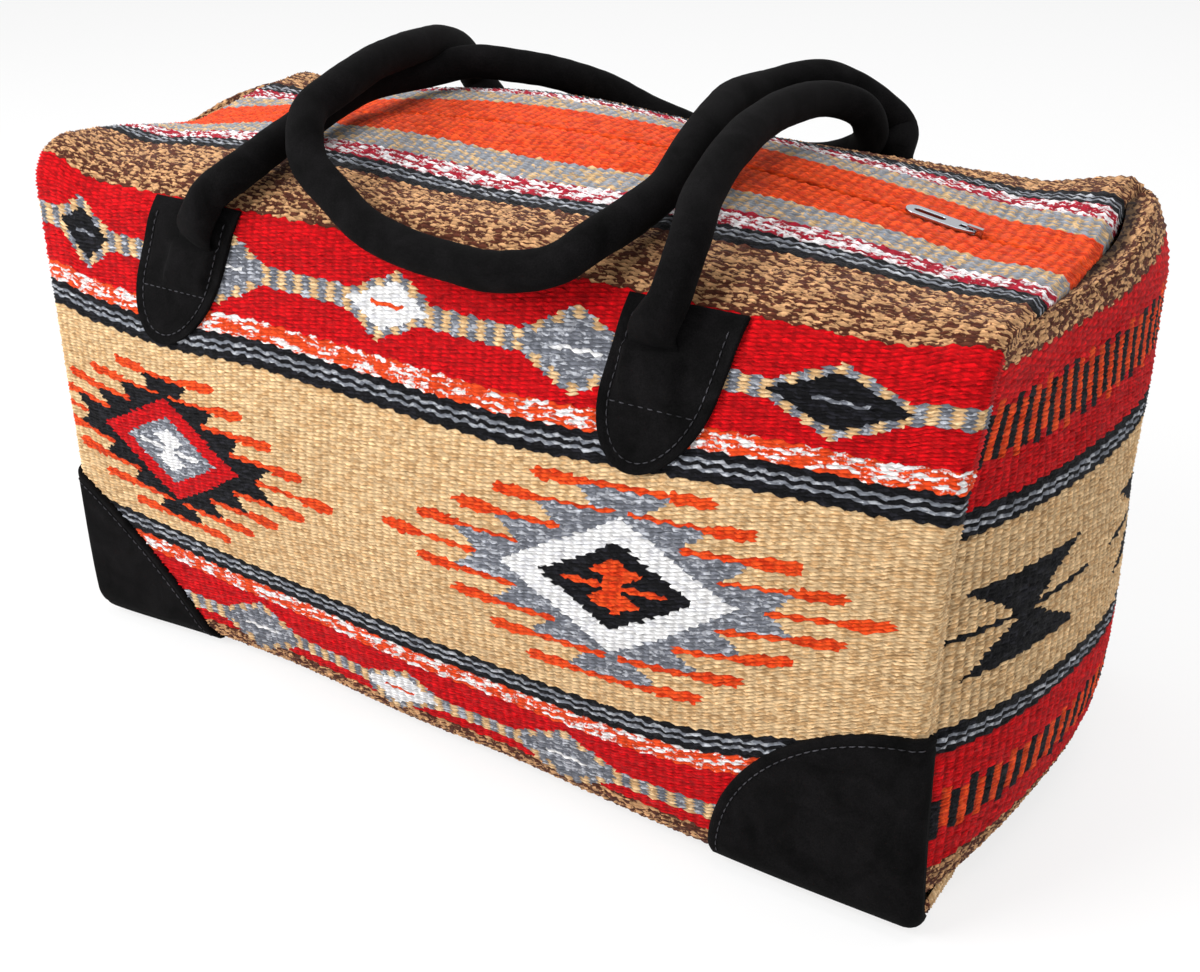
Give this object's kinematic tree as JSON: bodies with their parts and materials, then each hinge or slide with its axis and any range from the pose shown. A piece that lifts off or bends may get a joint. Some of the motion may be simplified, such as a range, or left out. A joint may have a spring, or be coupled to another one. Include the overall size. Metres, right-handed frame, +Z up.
{
  "type": "travel bag",
  "caption": "Boxy hand-woven wool duffel bag with a zip along its crowned top, rolled suede carrying handles on sewn tabs, suede corner patches and domed end panels.",
  "frame": {"origin": "middle of the underside, on the floor that the bag stands on", "axes": "+X along the bag to the end where the closed zip's slider rests, +Y from the front face to the back, +Z up"},
  "size_m": [0.542, 0.2861, 0.332],
  "materials": {
    "wool_weave": "thick weft-faced wool weave in stripes and stepped figures",
    "black_suede": "matt black suede",
    "rope": "twisted cotton rope",
    "zip_tape": "woven zip tape",
    "zip_teeth": "moulded teeth",
    "bright_metal": "bright plated zinc"
  },
  "bodies": {
    "bag": {"main_panel": "wool_weave", "end_panel_left": "wool_weave", "end_panel_right": "wool_weave", "zip_bottom_stop": "bright_metal", "zip_top_stop_front": "bright_metal", "zip_top_stop_rear": "bright_metal", "zip_tape_front": "zip_tape", "zip_tape_rear": "zip_tape", "zip_teeth_front": "zip_teeth", "zip_teeth_rear": "zip_teeth", "handle_cover_front": "black_suede", "handle_cover_rear": "black_suede", "handle_core_front": "rope", "handle_core_rear": "rope", "handle_tab_front_left": "black_suede", "corner_patch_front_left": "black_suede", "handle_tab_front_right": "black_suede", "corner_patch_front_right": "black_suede", "handle_tab_rear_left": "black_suede", "corner_patch_rear_left": "black_suede", "handle_tab_rear_right": "black_suede", "corner_patch_rear_right": "black_suede"},
    "slider": {"zip_slider": "bright_metal"},
    "pull": {"zip_pull": "bright_metal"}
  },
  "joints": [
    {"name": "zip_travel", "type": "hinge", "parent": "bag", "child": "slider", "pos_m": [0, 0, -0.84767], "axis": [0, 1, 0], "range_deg": [-21, 0], "deforming": ["zip_teeth_front", "zip_teeth_rear"]},
    {"name": "zip_pull_turn", "type": "hinge", "parent": "slider", "child": "pull", "pos_m": [0.21147, 0, 0.27531], "axis": [0, 1, 0], "range_deg": [0, 165]}
  ]
}
